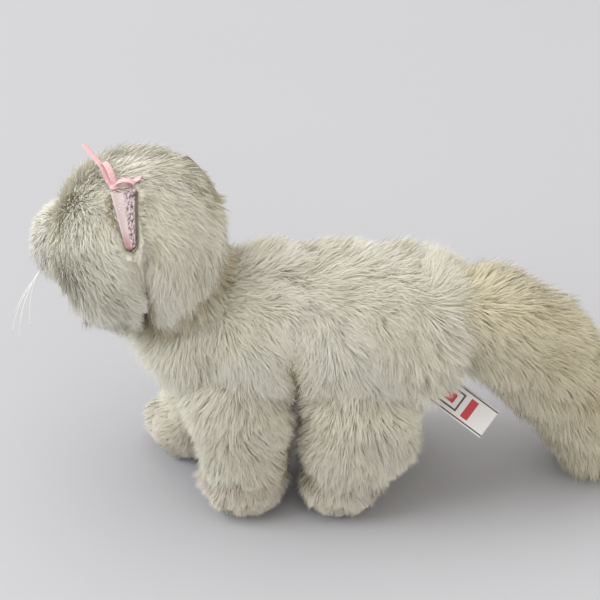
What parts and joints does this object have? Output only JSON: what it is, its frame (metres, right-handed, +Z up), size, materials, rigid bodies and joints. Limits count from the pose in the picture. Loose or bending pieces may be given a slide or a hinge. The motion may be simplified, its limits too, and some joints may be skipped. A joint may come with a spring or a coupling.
{
  "type": "plush cat",
  "caption": "Standing long-haired plush cat with its head turned aside, folded ears, a thick tail down to the ground, a ribbon bow and a sewn-in label.",
  "frame": {"origin": "on the ground under the middle of the bounding box", "axes": "the cat faces -X, its right side is +Y, +Z is up"},
  "size_m": [0.3868, 0.1288, 0.2486],
  "materials": {
    "long_pile": "long white acrylic pile on a knitted backing",
    "short_pile": "short dense off-white pile",
    "stuffing": "white polyester fibre",
    "ear_satin": "smooth pinkish lilac lining",
    "ribbon": "pink satin ribbon",
    "label_satin": "white woven satin",
    "thread": "pink embroidery thread",
    "nose_plastic": "matte pink",
    "eye_plastic": "glossy blue with a dark pupil",
    "washer_plastic": "natural white",
    "nylon": "clear nylon filament"
  },
  "bodies": {
    "torso": {"body_left_cover": "long_pile", "body_right_cover": "long_pile", "belly_cover": "long_pile", "body_stuffing": "stuffing"},
    "neck": {"neck_cover": "long_pile", "neck_stuffing": "stuffing"},
    "head": {"face_cover": "long_pile", "head_back_cover": "long_pile", "muzzle_cover": "short_pile", "head_stuffing": "stuffing", "nose": "nose_plastic", "nose_washer": "washer_plastic", "mouth_stitch": "thread", "left_eye": "eye_plastic", "right_eye": "eye_plastic", "left_eye_washer": "washer_plastic", "right_eye_washer": "washer_plastic", "left_whiskers": "nylon", "right_whiskers": "nylon", "ribbon_bow": "ribbon"},
    "left_ear": {"left_ear_cover": "long_pile", "left_ear_lining": "ear_satin"},
    "right_ear": {"right_ear_cover": "long_pile", "right_ear_lining": "ear_satin"},
    "front_left_leg": {"front_left_leg_cover": "long_pile", "front_left_paw_cover": "short_pile", "front_left_leg_stuffing": "stuffing"},
    "front_right_leg": {"front_right_leg_cover": "long_pile", "front_right_paw_cover": "short_pile", "front_right_leg_stuffing": "stuffing"},
    "hind_left_leg": {"hind_left_leg_cover": "long_pile", "hind_left_paw_cover": "short_pile", "hind_left_leg_stuffing": "stuffing"},
    "hind_right_leg": {"hind_right_leg_cover": "long_pile", "hind_right_paw_cover": "short_pile", "hind_right_leg_stuffing": "stuffing"},
    "tail_root": {"tail_root_stuffing": "stuffing"},
    "tail": {"tail_cover": "long_pile", "tail_stuffing": "stuffing"},
    "label": {"label": "label_satin"}
  },
  "joints": [
    {"name": "neck_turn", "type": "hinge", "parent": "torso", "child": "neck", "pos_m": [-0.08696, -0.01064, 0.1453], "axis": [-0.629, 0.0247, 0.777], "range_deg": [-13, 64]},
    {"name": "head_nod", "type": "hinge", "parent": "neck", "child": "head", "pos_m": [-0.08696, -0.01064, 0.1453], "axis": [0.5299, 0.848, 0], "range_deg": [-12, 12]},
    {"name": "left_ear_flap", "type": "hinge", "parent": "head", "child": "left_ear", "pos_m": [-0.11934, -0.03125, 0.22871], "axis": [-0.9745, -0.0137, -0.2241], "range_deg": [-5, 70]},
    {"name": "right_ear_flap", "type": "hinge", "parent": "head", "child": "right_ear", "pos_m": [-0.08901, 0.01729, 0.21913], "axis": [0.4688, -0.7956, 0.3838], "range_deg": [-5, 70]},
    {"name": "front_left_leg_swing", "type": "hinge", "parent": "torso", "child": "front_left_leg", "pos_m": [-0.05626, -0.03954, 0.078], "axis": [0, 1, 0], "range_deg": [-6, 25]},
    {"name": "front_right_leg_swing", "type": "hinge", "parent": "torso", "child": "front_right_leg", "pos_m": [-0.05626, 0.01646, 0.078], "axis": [0, 1, 0], "range_deg": [-30, 6]},
    {"name": "hind_left_leg_swing", "type": "hinge", "parent": "torso", "child": "hind_left_leg", "pos_m": [0.01974, -0.03954, 0.08], "axis": [0, 1, 0], "range_deg": [-25, 6]},
    {"name": "hind_right_leg_swing", "type": "hinge", "parent": "torso", "child": "hind_right_leg", "pos_m": [0.01974, 0.01646, 0.08], "axis": [0, 1, 0], "range_deg": [-25, 6]},
    {"name": "tail_swing", "type": "hinge", "parent": "torso", "child": "tail_root", "pos_m": [0.06874, -0.01154, 0.122], "axis": [0, 0, 1], "range_deg": [-22, 22]},
    {"name": "tail_lift", "type": "hinge", "parent": "tail_root", "child": "tail", "pos_m": [0.06874, -0.01154, 0.122], "axis": [0, -1, 0], "range_deg": [0, 30]},
    {"name": "label_flap", "type": "hinge", "parent": "torso", "child": "label", "pos_m": [0.05924, -0.02754, 0.087], "axis": [0.5948, 0.4949, 0.6335], "range_deg": [-20, 20]}
  ]
}
